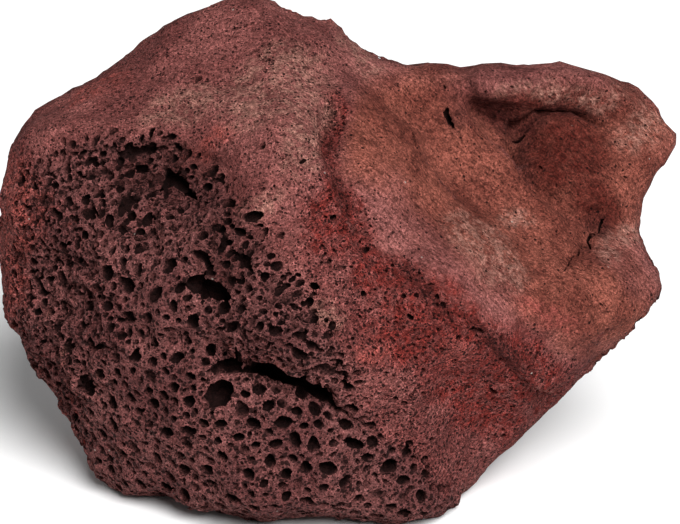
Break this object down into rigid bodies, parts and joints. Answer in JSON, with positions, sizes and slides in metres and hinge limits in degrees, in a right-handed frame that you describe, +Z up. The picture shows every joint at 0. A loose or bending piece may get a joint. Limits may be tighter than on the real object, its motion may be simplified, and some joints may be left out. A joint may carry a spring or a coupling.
{
  "type": "lava rock",
  "caption": "Free-standing lump of red-brown volcanic scoria with a porous face, smoother crust and a flat broken base.",
  "frame": {"origin": "on the resting plane, in the middle of the plan of the bounding box", "axes": "+Z up from the flat base; +X to the right along the length of the stone; +Y away from the porous face"},
  "size_m": [0.1516, 0.1014, 0.1058],
  "materials": {
    "scoria": "matt, porous, red-brown"
  },
  "bodies": {
    "root": {"lava_rock": "scoria"}
  },
  "joints": []
}
